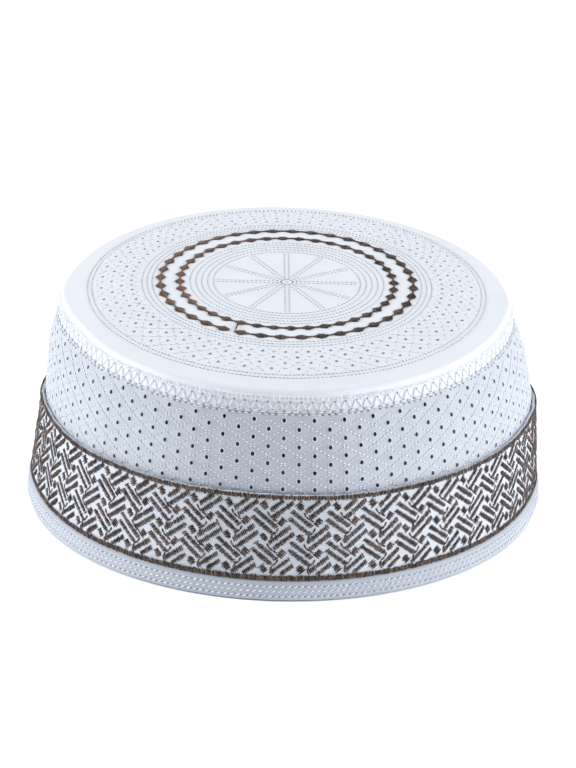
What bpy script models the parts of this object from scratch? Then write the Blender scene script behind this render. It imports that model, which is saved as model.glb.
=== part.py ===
"""Round embroidered kufi, standing on its rim.

Metres, +Z up. The origin is on the floor, under the middle of the cap, and the front faces -Y.
Every piece is a closed ring or disc that is swept round the cap's upright axis. One function,
cap_point, gives all of them the same folds, dents and crown tilt, so that layers that lie on
each other stay on each other.
"""
import math

import bmesh
import bpy

# Whole cap
HEM_RADIUS = 0.09275
SEAM_RADIUS = 0.0795
SEAM_HEIGHT = 0.0757
CROWN_RISE = 0.0064
CROWN_ROUNDNESS = 4.5
WALL_BULGE = 0.0018
SHOULDER_BULGE = 0.0016
CLEARANCE = 0.0003

# Cloth
WALL_THICKNESS = 0.0016
CROWN_THICKNESS = 0.0018
BAND_THICKNESS = 0.0010

# Crown edge and the allowance of cloth that is turned down behind the seam
ROLL_RADIUS = 0.0018
ROLL_OVERHANG = 0.0008
ALLOWANCE_DEPTH = 0.0050
ALLOWANCE_THICKNESS = 0.0012

# Hem binding
BINDING_HEIGHT = 0.0074
BINDING_INSIDE_HEIGHT = 0.0064
BINDING_THICKNESS = 0.0021
BINDING_INSIDE_THICKNESS = 0.0012
BINDING_FOLD_DEPTH = 0.0012
BINDING_CORNER = 0.0007

# Embroidered band and its two satin borders
BAND_WIDTH = 0.0307
BORDER_WIDTH = 0.0019
BORDER_PROUD = 0.0005

# Diamond rings on the crown
RING_OUTER_RADIUS = 0.0452
RING_SPACING = 0.0069
DIAMOND_COUNT = 40
DIAMOND_WIDTH = 0.0038
DIAMOND_TIP_WIDTH = 0.0009
DIAMOND_PROUD = 0.0005

# How the soft crown leans: the back stands higher than the front, the right side lower
TILT_BACK_DEG = 2.2
TILT_RIGHT_DEG = -0.5

# The middle of the wall sways to the right by this much, and comes back at hem and crown
SWAY = 0.0013
SWAY_HEIGHT_SHARE = 0.50
SWAY_SPREAD_SHARE = 0.30

# Facets
SEGMENTS = 72
WALL_STEPS = 7
ALLOWANCE_STEPS = 2
BAND_STEPS = 4
CROWN_STEPS = 7
ROLL_STEPS = 4
BORDER_STEPS = 4

# Folds and dents of the soft wall. Angles run from the front towards the right side.
# depth is a share of HEM_RADIUS, outwards when positive. height and reach are shares of
# SEAM_HEIGHT, and reach is how far up and down the dent is felt.
FOLDS = (
    {"name": "left_fold", "angle": -90.0, "spread": 9.0, "height": 0.35, "reach": 1.20, "depth": 0.015},
    {"name": "right_fold", "angle": 90.0, "spread": 9.0, "height": 0.35, "reach": 1.20, "depth": 0.015},
    {"name": "right_shoulder", "angle": 82.0, "spread": 26.0, "height": 0.78, "reach": 0.26, "depth": 0.012},
    {"name": "front_hollow", "angle": -8.0, "spread": 15.0, "height": 0.62, "reach": 0.28, "depth": -0.013},
    {"name": "front_ridge", "angle": 14.0, "spread": 7.0, "height": 0.60, "reach": 0.40, "depth": 0.009},
    {"name": "front_pucker", "angle": -17.0, "spread": 5.0, "height": 0.86, "reach": 0.12, "depth": 0.010},
    {"name": "left_crease", "angle": -41.0, "spread": 6.0, "height": 0.60, "reach": 0.35, "depth": -0.008},
    {"name": "left_shoulder", "angle": -88.0, "spread": 22.0, "height": 0.86, "reach": 0.22, "depth": 0.016},
    {"name": "shoulder_pucker", "angle": -66.0, "spread": 7.0, "height": 0.94, "reach": 0.14, "depth": -0.010},
    {"name": "back_hollow", "angle": 168.0, "spread": 22.0, "height": 0.60, "reach": 0.35, "depth": -0.010},
)

# Heights and radii that follow from the sizes above
WALL_BOTTOM = BINDING_FOLD_DEPTH + CLEARANCE
BAND_BOTTOM = BINDING_HEIGHT + CLEARANCE
BAND_TOP = BAND_BOTTOM + BAND_WIDTH
CAP_HEIGHT = SEAM_HEIGHT + CROWN_RISE
ROLL_CENTRE_RADIUS = SEAM_RADIUS - ROLL_RADIUS
ROLL_CENTRE_HEIGHT = SEAM_HEIGHT
ROLL_LAST_ANGLE = -math.acos(1.0 - ROLL_OVERHANG / ROLL_RADIUS)
CROWN_EDGE_BOTTOM = ROLL_CENTRE_HEIGHT + ROLL_RADIUS * math.sin(ROLL_LAST_ANGLE)
WALL_TOP = CROWN_EDGE_BOTTOM - CLEARANCE
ALLOWANCE_BOTTOM = WALL_TOP - ALLOWANCE_DEPTH
WALL_FOOT_RADIUS = HEM_RADIUS - BINDING_THICKNESS - CLEARANCE
WALL_TOP_RADIUS = SEAM_RADIUS - ROLL_OVERHANG
RING_INNER_RADIUS = RING_OUTER_RADIUS - RING_SPACING


def shares(steps):
    """Even shares from 0 to 1."""
    return [step / steps for step in range(steps + 1)]


def smooth_share(low, high, value):
    """0 below low, 1 above high, and an easy curve between."""
    share = min(1.0, max(0.0, (value - low) / (high - low)))
    return share * share * (3.0 - 2.0 * share)


def bell(distance, spread):
    """1 at no distance, fading away over the spread."""
    return math.exp(-(distance / spread) ** 2)


def fold_push(height, angle):
    """How far the folds and dents move the wall outwards at one place."""
    push = 0.0
    for fold in FOLDS:
        turn = (math.degrees(angle) - fold["angle"] + 180.0) % 360.0 - 180.0
        lift = height / SEAM_HEIGHT - fold["height"]
        push += fold["depth"] * HEM_RADIUS * bell(turn, fold["spread"]) * bell(lift, fold["reach"])
    return push


def cap_point(radius, height, angle):
    """Place a point of a piece, with the folds of the wall and the lean of the crown."""
    hold = smooth_share(0.0, SEAM_RADIUS, radius)
    radius += hold * fold_push(height, angle)
    sway = SWAY * bell(height / SEAM_HEIGHT - SWAY_HEIGHT_SHARE, SWAY_SPREAD_SHARE)
    x = radius * math.sin(angle) + sway
    y = -radius * math.cos(angle)
    lean = x * math.tan(math.radians(TILT_RIGHT_DEG)) + y * math.tan(math.radians(TILT_BACK_DEG))
    return x, y, height + lean * smooth_share(BAND_TOP, SEAM_HEIGHT, height)


def wall_radius(height):
    """Outer face of the side wall, before any fold."""
    share = (height - WALL_BOTTOM) / (WALL_TOP - WALL_BOTTOM)
    straight = WALL_FOOT_RADIUS + (WALL_TOP_RADIUS - WALL_FOOT_RADIUS) * share
    within = min(1.0, max(0.0, share))
    shoulder = SHOULDER_BULGE * math.sin(math.pi * within ** 3)
    return straight + WALL_BULGE * math.sin(math.pi * within) + shoulder


def crown_height(radius):
    """Top face of the crown, before its lean."""
    share = radius / ROLL_CENTRE_RADIUS
    return CAP_HEIGHT - (CROWN_RISE - ROLL_RADIUS) * share ** CROWN_ROUNDNESS


def layer(offset, heights):
    """Points that run up the wall at a distance from its outer face."""
    return [(wall_radius(height) + offset, height) for height in heights]


def heights_between(low, high, steps):
    """Even heights from low to high."""
    return [low + (high - low) * share for share in shares(steps)]


def cloth(name, colour, roughness):
    """Cloth or thread, from its base colour and roughness."""
    material = bpy.data.materials.new(name)
    material.use_nodes = True
    shader = material.node_tree.nodes["Principled BSDF"]
    shader.inputs["Base Color"].default_value = (*colour, 1.0)
    shader.inputs["Roughness"].default_value = roughness
    shader.inputs["Metallic"].default_value = 0.0
    material.diffuse_color = (*colour, 1.0)
    return material


def swept_solid(name, section_at, segments, material, parent):
    """Sweep a section round the cap. A section that starts and ends on the axis makes a disc."""
    shape = bmesh.new()
    rows = []
    is_disc = section_at(0.0)[0][0] == 0.0
    poles = []
    for index in range(segments):
        angle = 2.0 * math.pi * index / segments
        section = section_at(angle)
        if is_disc:
            if not poles:
                poles = [shape.verts.new(cap_point(*section[end], angle)) for end in (0, -1)]
            section = section[1:-1]
        rows.append([shape.verts.new(cap_point(*point, angle)) for point in section])
    for index, row in enumerate(rows):
        following = rows[(index + 1) % segments]
        count = len(row)
        for step in range(count - 1 if is_disc else count):
            after = (step + 1) % count
            shape.faces.new((row[step], following[step], following[after], row[after]))
        if is_disc:
            shape.faces.new((poles[0], following[0], row[0]))
            shape.faces.new((poles[1], row[-1], following[-1]))
    bmesh.ops.recalc_face_normals(shape, faces=shape.faces)
    mesh = bpy.data.meshes.new(name)
    shape.to_mesh(mesh)
    shape.free()
    mesh.materials.append(material)
    mesh.shade_smooth()
    mesh.set_sharp_from_angle(angle=math.radians(50.0))
    piece = bpy.data.objects.new(name, mesh)
    piece.parent = parent
    bpy.context.scene.collection.objects.link(piece)
    return piece


def allowance_heights():
    """Heights, low to high, where the wall and the allowance behind it both bend."""
    return heights_between(ALLOWANCE_BOTTOM, WALL_TOP, ALLOWANCE_STEPS)


def side_wall_section(angle):
    """One cloth wall from inside the hem up to the crown seam."""
    heights = heights_between(WALL_BOTTOM, ALLOWANCE_BOTTOM, WALL_STEPS)[:-1] + allowance_heights()
    outside = layer(0.0, heights)
    inside = layer(-WALL_THICKNESS, reversed(heights))
    return outside + inside


def band_section(angle):
    """Second layer of cloth, laid on the lower wall."""
    heights = heights_between(BAND_BOTTOM, BAND_TOP, BAND_STEPS)
    inside = layer(CLEARANCE, reversed(heights))
    outside = layer(CLEARANCE + BAND_THICKNESS, heights)
    return outside + inside


def border_section_at(middle_height):
    """Section of a satin border: a low ridge on the band, centred at a height."""
    base = CLEARANCE + BAND_THICKNESS + CLEARANCE

    def section(angle):
        half = BORDER_WIDTH / 2.0
        ridge = []
        for share in shares(BORDER_STEPS):
            around = math.pi * share
            height = middle_height - half * math.cos(around)
            ridge.append((wall_radius(height) + base + BORDER_PROUD * math.sin(around), height))
        return ridge

    return section


def binding_section(angle):
    """Folded strip round the wall's bottom edge, flat where the cap rests on it."""
    outside = CLEARANCE + BINDING_THICKNESS
    inside = -WALL_THICKNESS - CLEARANCE - BINDING_INSIDE_THICKNESS
    outer_face = layer(outside, (BINDING_CORNER, BINDING_HEIGHT / 2.0, BINDING_HEIGHT - BINDING_CORNER))
    outer_top = layer(outside - BINDING_CORNER, (BINDING_HEIGHT,))
    slot_outer = layer(CLEARANCE, (BINDING_HEIGHT, BINDING_FOLD_DEPTH))
    slot_inner = layer(-WALL_THICKNESS - CLEARANCE, (BINDING_FOLD_DEPTH, BINDING_INSIDE_HEIGHT))
    inner_face = layer(inside, (BINDING_INSIDE_HEIGHT, BINDING_CORNER))
    floor = layer(inside + BINDING_CORNER, (0.0,)) + layer(outside - BINDING_CORNER, (0.0,))
    return outer_face + outer_top + slot_outer + slot_inner + inner_face + floor


def crown_section(angle):
    """Domed panel with a rolled edge and the seam allowance turned down behind the wall."""
    top = []
    for share in shares(CROWN_STEPS):
        radius = ROLL_CENTRE_RADIUS * share
        top.append((radius, crown_height(radius)))
    roll = []
    for share in shares(ROLL_STEPS)[1:]:
        around = math.pi / 2.0 + (ROLL_LAST_ANGLE - math.pi / 2.0) * share
        radius = ROLL_CENTRE_RADIUS + ROLL_RADIUS * math.cos(around)
        roll.append((radius, ROLL_CENTRE_HEIGHT + ROLL_RADIUS * math.sin(around)))
    allowance_outside = -WALL_THICKNESS - CLEARANCE
    allowance_inside = allowance_outside - ALLOWANCE_THICKNESS
    allowance = layer(allowance_outside, [CROWN_EDGE_BOTTOM, *reversed(allowance_heights())])
    allowance += layer(allowance_inside, (ALLOWANCE_BOTTOM,))
    edge_radius = wall_radius(WALL_TOP) + allowance_inside
    allowance.append((edge_radius, crown_height(edge_radius) - CROWN_THICKNESS))
    under = []
    for share in shares(CROWN_STEPS)[1:]:
        radius = edge_radius * (1.0 - share)
        under.append((radius, crown_height(radius) - CROWN_THICKNESS))
    return top + roll + allowance + under


def diamond_ring_section_at(ring_radius):
    """Section of a ring of raised diamonds, widest at each diamond and thin between them."""
    def section(angle):
        swing = 0.5 + 0.5 * math.cos(DIAMOND_COUNT * angle)
        width = DIAMOND_TIP_WIDTH + (DIAMOND_WIDTH - DIAMOND_TIP_WIDTH) * swing
        proud = DIAMOND_PROUD * (1.0 + swing) / 2.0
        points = []
        for side, lift in ((-1.0, 0.0), (0.0, proud), (1.0, 0.0)):
            radius = ring_radius + side * width / 2.0
            points.append((radius, crown_height(radius) + CLEARANCE + lift))
        return points

    return section


def build():
    """Remove what the scene holds and make the cap."""
    for old in list(bpy.data.objects):
        bpy.data.objects.remove(old, do_unlink=True)
    cap = bpy.data.objects.new("kufi", None)
    bpy.context.scene.collection.objects.link(cap)
    white = (0.78, 0.80, 0.84)
    brown = (0.16, 0.085, 0.055)
    crown_cloth = cloth("crown_cotton", white, 0.85)
    wall_cloth = cloth("wall_cotton", white, 0.88)
    band_cloth = cloth("band_embroidery", (0.44, 0.37, 0.34), 0.75)
    binding_cloth = cloth("hem_cotton", white, 0.85)
    top_thread = cloth("band_top_satin", brown, 0.5)
    bottom_thread = cloth("band_bottom_satin", brown, 0.5)
    inner_thread = cloth("inner_ring_satin", brown, 0.5)
    outer_thread = cloth("outer_ring_satin", brown, 0.5)
    border_inset = BORDER_WIDTH / 2.0
    diamond_segments = 2 * DIAMOND_COUNT
    swept_solid("crown_panel", crown_section, SEGMENTS, crown_cloth, cap)
    swept_solid("side_wall", side_wall_section, SEGMENTS, wall_cloth, cap)
    swept_solid("embroidered_band", band_section, SEGMENTS, band_cloth, cap)
    swept_solid("hem_binding", binding_section, SEGMENTS, binding_cloth, cap)
    top_border = border_section_at(BAND_TOP - border_inset)
    bottom_border = border_section_at(BAND_BOTTOM + border_inset)
    swept_solid("band_border_top", top_border, SEGMENTS, top_thread, cap)
    swept_solid("band_border_bottom", bottom_border, SEGMENTS, bottom_thread, cap)
    inner_ring = diamond_ring_section_at(RING_INNER_RADIUS)
    outer_ring = diamond_ring_section_at(RING_OUTER_RADIUS)
    swept_solid("crown_ring_inner", inner_ring, diamond_segments, inner_thread, cap)
    swept_solid("crown_ring_outer", outer_ring, diamond_segments, outer_thread, cap)


build()
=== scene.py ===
# %% [markdown]
# # A white embroidered kufi
# This lesson dresses the plain solids of a kufi with cloth and thread. The cap has a domed crown, an
# upright wall with rows of eyelets, a band of brown plaited embroidery and a folded hem. Every stitch
# is a small mesh, so that it catches the light from any side, and the weave of the cloth is a bump.

# %% Load the frame
import math

import bpy
import numpy as np
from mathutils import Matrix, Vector
from mathutils.bvhtree import BVHTree


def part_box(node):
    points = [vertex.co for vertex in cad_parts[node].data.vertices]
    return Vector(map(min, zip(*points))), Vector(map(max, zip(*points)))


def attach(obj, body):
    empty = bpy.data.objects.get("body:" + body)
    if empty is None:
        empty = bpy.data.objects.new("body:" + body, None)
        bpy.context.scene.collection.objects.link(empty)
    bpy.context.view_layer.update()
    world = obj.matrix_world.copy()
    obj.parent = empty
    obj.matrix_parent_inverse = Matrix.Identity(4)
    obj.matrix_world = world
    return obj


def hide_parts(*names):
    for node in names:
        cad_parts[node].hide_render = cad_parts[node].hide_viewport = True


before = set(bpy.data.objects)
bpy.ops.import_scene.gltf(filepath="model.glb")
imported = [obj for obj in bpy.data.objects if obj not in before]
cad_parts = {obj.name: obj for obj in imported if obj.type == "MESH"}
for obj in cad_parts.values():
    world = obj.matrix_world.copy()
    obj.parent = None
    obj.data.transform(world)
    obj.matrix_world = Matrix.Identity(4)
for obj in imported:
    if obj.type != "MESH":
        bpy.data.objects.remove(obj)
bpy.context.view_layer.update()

MM = 0.001
rng = np.random.default_rng(7)
print("solids:", sorted(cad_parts))

# %% [markdown]
# ## The camera
# The photograph was taken with a long lens from a little above the cap. A long lens from far away keeps
# the near and far rims almost the same size, so the focal length is worked out from the distance and
# from how many pixels one radian covers in the photograph. The picture hangs a little to the right,
# which is a small roll of the camera.

# %% Camera
PHOTO_WIDTH = 576
PHOTO_HEIGHT = 768
PIXELS_PER_RADIAN = 4396.0
SENSOR_MM = 36.0
CAMERA_DISTANCE = 1.6
CAMERA_ELEVATION_DEG = 23.79
CAMERA_ROLL_DEG = 1.15
AIM_HEIGHT = 42 * MM
AIM_PIXEL = (284.9, 383.9)

camera_data = bpy.data.cameras.new("camera")
camera_data.lens = PIXELS_PER_RADIAN * SENSOR_MM / PHOTO_HEIGHT
camera_data.sensor_width = SENSOR_MM
camera_data.shift_x = (PHOTO_WIDTH / 2 - AIM_PIXEL[0]) / PHOTO_HEIGHT
camera_data.shift_y = (AIM_PIXEL[1] - PHOTO_HEIGHT / 2) / PHOTO_HEIGHT
camera = bpy.data.objects.new("camera", camera_data)
bpy.context.scene.collection.objects.link(camera)
rise = math.radians(CAMERA_ELEVATION_DEG)
back = Vector((0.0, -math.cos(rise), math.sin(rise)))
camera.location = Vector((0.0, 0.0, AIM_HEIGHT)) + CAMERA_DISTANCE * back
camera.rotation_euler = (-back).to_track_quat("-Z", "Y").to_euler()
camera.rotation_euler.rotate_axis("Z", math.radians(CAMERA_ROLL_DEG))
bpy.context.scene.camera = camera
print("lens in mm:", round(camera_data.lens, 1))

# %% [markdown]
# ## Colours and nodes
# Colours are written as the hex values that a colour picker shows. Blender's shaders want linear light,
# so one function converts them. A second small function adds a node with its settings and its inputs:
# an input that is a socket of another node is linked, and any other input is a plain value.

# %% Helpers for materials
def srgb(hex_colour):
    """Linear colour from an sRGB hex value."""
    parts = [int(hex_colour[i:i + 2], 16) / 255 for i in (1, 3, 5)]
    return tuple(c / 12.92 if c <= 0.04045 else ((c + 0.055) / 1.055) ** 2.4 for c in parts) + (1.0,)


def add(tree, kind, inputs=None, **settings):
    """Add one node with its settings, and fill or link its inputs."""
    node = tree.nodes.new(kind)
    for key, value in settings.items():
        setattr(node, key, value)
    for key, value in (inputs or {}).items():
        if isinstance(value, bpy.types.NodeSocket):
            tree.links.new(value, node.inputs[key])
        else:
            node.inputs[key].default_value = value
    return node


def new_material(name, shader_values):
    """An empty material with one Principled shader."""
    material = bpy.data.materials.new(name)
    material.use_nodes = True
    tree = material.node_tree
    tree.nodes.clear()
    shader = add(tree, "ShaderNodeBsdfPrincipled", shader_values)
    add(tree, "ShaderNodeOutputMaterial", {"Surface": shader.outputs["BSDF"]})
    return material, tree, shader


# %% [markdown]
# ## Bleached cotton
# The cap's cloth is bleached cotton poplin, a plain weave of fine threads. Cotton scatters light widely,
# so it is rough, with an IOR near 1.5 and a faint sheen from its fibre ends. The real threads are about
# 0.25 mm apart, which is finer than a pixel here, so the weave is drawn at 0.7 mm to show at all. Slow
# noise adds the slight unevenness of cloth that was washed and pressed.

# %% Cotton
THREAD_SPACING_MM = 0.7
SLOW_PATCH_MM = 14
COTTON_IOR = 1.5


def cotton(name, colour, shade, weave_depth_mm):
    """Plain woven cotton, with a weave and a slow change of tone."""
    values = {"Roughness": 0.82, "IOR": COTTON_IOR, "Sheen Weight": 0.12, "Sheen Roughness": 0.5}
    material, tree, shader = new_material(name, values)
    place = add(tree, "ShaderNodeTexCoord").outputs["Object"]
    fine = add(tree, "ShaderNodeTexNoise", {"Vector": place, "Scale": 1000 / THREAD_SPACING_MM, "Detail": 2.0})
    slow = add(tree, "ShaderNodeTexNoise", {"Vector": place, "Scale": 1000 / SLOW_PATCH_MM, "Detail": 3.0})
    tone = add(tree, "ShaderNodeMix", {"Factor": slow.outputs["Fac"], "A": srgb(colour), "B": srgb(shade)},
               data_type="RGBA")
    tree.links.new(tone.outputs["Result"], shader.inputs["Base Color"])
    bump = add(tree, "ShaderNodeBump", {"Height": fine.outputs["Fac"], "Distance": weave_depth_mm * MM,
                                        "Strength": 0.6})
    tree.links.new(bump.outputs["Normal"], shader.inputs["Normal"])
    return material


# One cotton in four copies with painted light and shade: the crown's copy is painted lighter, as if lit from
# above, and the band's, wall's and hem's copies are painted darker, as upright faces in shade.
crown_cotton = cotton("bleached_cotton_crown_painted_lit", "#f0f3f9", "#e6ebf3", 0.10)
painted_shade_band_cotton = cotton("bleached_cotton_band_painted_shade", "#d9dee7", "#ced4de", 0.12)
wall_cotton = cotton("bleached_cotton_wall_painted_shade", "#c8ced8", "#bbc1cc", 0.12)
hem_cotton = cotton("bleached_cotton_hem_painted_shade", "#c2c8d3", "#b4bbc7", 0.12)

# %% [markdown]
# ## Embroidery thread
# White stitches are cotton floss too, but twisted and pressed smooth, so they are brighter and a little
# glossier than the cloth. The brown thread is rayon floss, laid side by side as satin stitch. Each
# thread reflects its own way, from nearly black to a light tan, so every thread carries a random tone
# that the material reads as an attribute. The thread of the eyelets is the white floss painted a shade
# darker, a painted shade of the upright wall, and a needle hole is a small disc of painted grey shadow.

# %% Threads
FIBRE_MM = 0.3


def floss(name, dark, light, roughness):
    """Embroidery floss whose tone changes from thread to thread."""
    values = {"Roughness": roughness, "IOR": 1.47, "Sheen Weight": 0.2, "Sheen Roughness": 0.35}
    material, tree, shader = new_material(name, values)
    tone = add(tree, "ShaderNodeAttribute", attribute_name="tone", attribute_type="GEOMETRY")
    mix = add(tree, "ShaderNodeMix", {"Factor": tone.outputs["Fac"], "A": srgb(dark), "B": srgb(light)},
              data_type="RGBA")
    tree.links.new(mix.outputs["Result"], shader.inputs["Base Color"])
    place = add(tree, "ShaderNodeTexCoord").outputs["Object"]
    fibres = add(tree, "ShaderNodeTexNoise", {"Vector": place, "Scale": 1000 / FIBRE_MM, "Detail": 1.0})
    bump = add(tree, "ShaderNodeBump", {"Height": fibres.outputs["Fac"], "Distance": 0.05 * MM,
                                        "Strength": 0.5})
    tree.links.new(bump.outputs["Normal"], shader.inputs["Normal"])
    return material


white_floss = floss("white_cotton_floss", "#e6eaf1", "#fbfcff", 0.5)
brown_floss = floss("brown_rayon_floss", "#1f1510", "#86695a", 0.42)
eyelet_floss_painted_shade = floss("eyelet_cotton_floss_painted_shade", "#d2d8e1", "#e6eaf1", 0.6)
# Needle holes are drawn as small grey discs, a painted shadow of the hole.
needle_hole_shadow = floss("needle_hole_shadow", "#4f5663", "#868e9d", 0.9)

# %% [markdown]
# ## Reading the solids
# The fine cloth has to lie exactly on the plain solids. Rays shot at a solid tell how far out its skin
# is, for each turn round the cap and each height. Between those readings a smooth curve is used, because
# the solids have flat facets that would show in the shading. Places on the cap are then given as a turn
# (0 at the front, a quarter at the right side), a share of the height, and how proud they stand.

# %% Skins of the solids
TURNS = 72
OUTSIDE = 0.2
EDGE_MARGIN = 0.02


def tree_of(node):
    """Search tree of one solid's faces."""
    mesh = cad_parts[node].data
    return BVHTree.FromPolygons([v.co for v in mesh.vertices], [p.vertices for p in mesh.polygons])


def points_of(node):
    """Corners of one solid, with the turn where each one is."""
    points = np.array([v.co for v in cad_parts[node].data.vertices])
    turn = np.arctan2(points[:, 0], -points[:, 1]) / (2 * math.pi) % 1.0
    return points, turn


def around(node, pick):
    """One value for each of the turns, picked from the corners of a solid that are near it."""
    points, turn = points_of(node)
    values = []
    for index in range(TURNS):
        away = (turn - index / TURNS + 0.5) % 1.0 - 0.5
        values.append(pick(points[np.abs(away) < 0.55 / TURNS]))
    return np.array(values)


def curve_weights(position):
    """Whole steps and the four weights of a smooth curve between them."""
    step = np.floor(position).astype(int)
    f = position - step
    weights = [-0.5 * f ** 3 + f ** 2 - 0.5 * f, 1.5 * f ** 3 - 2.5 * f ** 2 + 1,
               -1.5 * f ** 3 + 2 * f ** 2 + 0.5 * f, 0.5 * f ** 3 - 0.5 * f ** 2]
    return step, weights


def ring_value(values, turn):
    """Smooth value of a ring of readings at any turn."""
    step, weights = curve_weights(np.asarray(turn) % 1.0 * TURNS)
    return sum(w * values[(step + k - 1) % TURNS] for k, w in enumerate(weights))


def table_value(table, turn, share):
    """Smooth value of a table of readings at any turn and share."""
    rows = table.shape[1] - 1
    step, weights = curve_weights(np.clip(share, 0.0, 1.0) * rows)
    total = 0.0
    turn_step, turn_weights = curve_weights(np.asarray(turn) % 1.0 * TURNS)
    for k, w in enumerate(weights):
        row = np.clip(step + k - 1, 0, rows)
        total = total + w * sum(t * table[(turn_step + j - 1) % TURNS, row] for j, t in enumerate(turn_weights))
    return total


def soften(table):
    """Take the facets out of a table of readings."""
    return 0.25 * np.roll(table, 1, 0) + 0.5 * table + 0.25 * np.roll(table, -1, 0)


def wall_skin(node, low, high, rows=14):
    """Function that places points on the outer face of an upright solid."""
    tree = tree_of(node)
    table = np.zeros((TURNS, rows + 1))
    for index in range(TURNS):
        angle = 2 * math.pi * index / TURNS
        inward = Vector((-math.sin(angle), math.cos(angle), 0.0))
        for row in range(rows + 1):
            inside = EDGE_MARGIN + (1 - 2 * EDGE_MARGIN) * row / rows
            height = low[index] + (high[index] - low[index]) * inside
            hit = tree.ray_cast(-inward * OUTSIDE + Vector((0, 0, height)), inward)[0]
            table[index, row] = math.hypot(hit.x, hit.y)
    table = soften(table)

    def place(turn, share, proud=0.0):
        turn, share = np.broadcast_arrays(np.asarray(turn, float), np.asarray(share, float))
        angle = 2 * math.pi * turn
        height = ring_value(low, turn) * (1 - share) + ring_value(high, turn) * share
        radius = table_value(table, turn, (share - EDGE_MARGIN) / (1 - 2 * EDGE_MARGIN)) + proud
        return np.stack([radius * np.sin(angle), -radius * np.cos(angle), height], axis=-1)
    return place


band_low, band_high = (c.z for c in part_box("embroidered_band"))
hem_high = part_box("hem_binding")[1].z
seam_height = around("side_wall", lambda p: p[:, 2].max())
crown_edge = around("crown_panel", lambda p: np.hypot(p[:, 0], p[:, 1]).max())
same = np.ones(TURNS)
upper_wall = wall_skin("side_wall", same * band_high, seam_height)
lower_wall = wall_skin("side_wall", same * hem_high, same * band_high)
band_skin = wall_skin("embroidered_band", same * band_low, same * band_high)
hem_skin = wall_skin("hem_binding", same * 0.0, same * hem_high)
print("seam height in mm:", (seam_height.min() / MM).round(1), "to", (seam_height.max() / MM).round(1))

# %% [markdown]
# The crown is read from above instead, on circles from its middle out to the rolled edge. A crown place
# is a turn and a distance from the middle.

# %% Skin of the crown
EDGE_ROLL = 1.8 * MM
CROWN_ROWS = 16
flat_edge = crown_edge - EDGE_ROLL
crown_tree = tree_of("crown_panel")
crown_table = np.zeros((TURNS, CROWN_ROWS + 1))
for index in range(TURNS):
    angle = 2 * math.pi * index / TURNS
    outward = Vector((math.sin(angle), -math.cos(angle), 0.0))
    for row in range(CROWN_ROWS + 1):
        above = outward * (flat_edge[index] * max(row, 0.05) / CROWN_ROWS) + Vector((0, 0, OUTSIDE))
        crown_table[index, row] = crown_tree.ray_cast(above, Vector((0, 0, -1)))[0].z
crown_table = soften(crown_table)


def crown_place(turn, radius, proud=0.0):
    """Points on the crown's top face, as far as its rolled edge."""
    turn, radius = np.broadcast_arrays(np.asarray(turn, float), np.asarray(radius, float))
    angle = 2 * math.pi * turn
    height = table_value(crown_table, turn, radius / ring_value(flat_edge, turn)) + proud
    return np.stack([radius * np.sin(angle), -radius * np.cos(angle), height], axis=-1)


print("crown edge in mm:", (crown_edge.min() / MM).round(1), "to", (crown_edge.max() / MM).round(1))

# %% [markdown]
# ## Building pieces
# Three helpers cover every piece. One turns arrays into an object that rides with the cap. One makes a
# cloth grid. One makes many small threads at once: each thread is a slim body with a pointed start and
# end, laid from one point to another on the cloth and bowed up in the middle. A thread is painted darker at
# its ends, a painted shade where it dips into the cloth, and painted lighter on its bowed middle, a painted
# highlight.

# %% Helpers for pieces
def piece(name, points, faces, material, tone=None, smooth=True):
    """Make an object from arrays of points and faces, riding with the cap."""
    mesh = bpy.data.meshes.new(name)
    mesh.from_pydata(np.asarray(points).reshape(-1, 3).tolist(), [], [list(f) for f in faces])
    mesh.validate()
    mesh.materials.append(material)
    if smooth:
        mesh.shade_smooth()
    if tone is not None:
        layer = mesh.attributes.new("tone", "FLOAT", "POINT")
        layer.data.foreach_set("value", np.asarray(tone, np.float32))
    made = bpy.data.objects.new(name, mesh)
    bpy.context.scene.collection.objects.link(made)
    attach(made, "root")
    print(name, "has", len(mesh.polygons), "faces")
    return made


def ring_faces(columns, rows, first=0):
    """Faces of a grid that closes on itself round the cap."""
    faces = []
    for column in range(columns):
        after = (column + 1) % columns
        for row in range(rows):
            a = first + column * (rows + 1) + row
            b = first + after * (rows + 1) + row
            faces.append((a, b, b + 1, a + 1))
    return faces


def thicken(made, depth):
    """Give a cloth sheet its thickness, inwards."""
    shell = made.modifiers.new("thickness", "SOLIDIFY")
    shell.thickness = depth
    shell.offset = -1.0
    return made


def outward_of(points):
    """Directions away from the cap, for points on the wall."""
    out = points * np.array([1.0, 1.0, 0.0])
    return out / np.linalg.norm(out, axis=-1, keepdims=True)


STATIONS = (0.14, 0.5, 0.86)
STATION_SIZE = (0.88, 1.0, 0.88)
SIDES = 4
# Painted shade at the ends of each thread and a painted highlight on its middle.
PAINTED_SHADE_AND_HIGHLIGHT_ALONG = np.array([0.15] + [0.75] * SIDES + [1.25] * SIDES + [0.75] * SIDES + [0.15])


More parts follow.
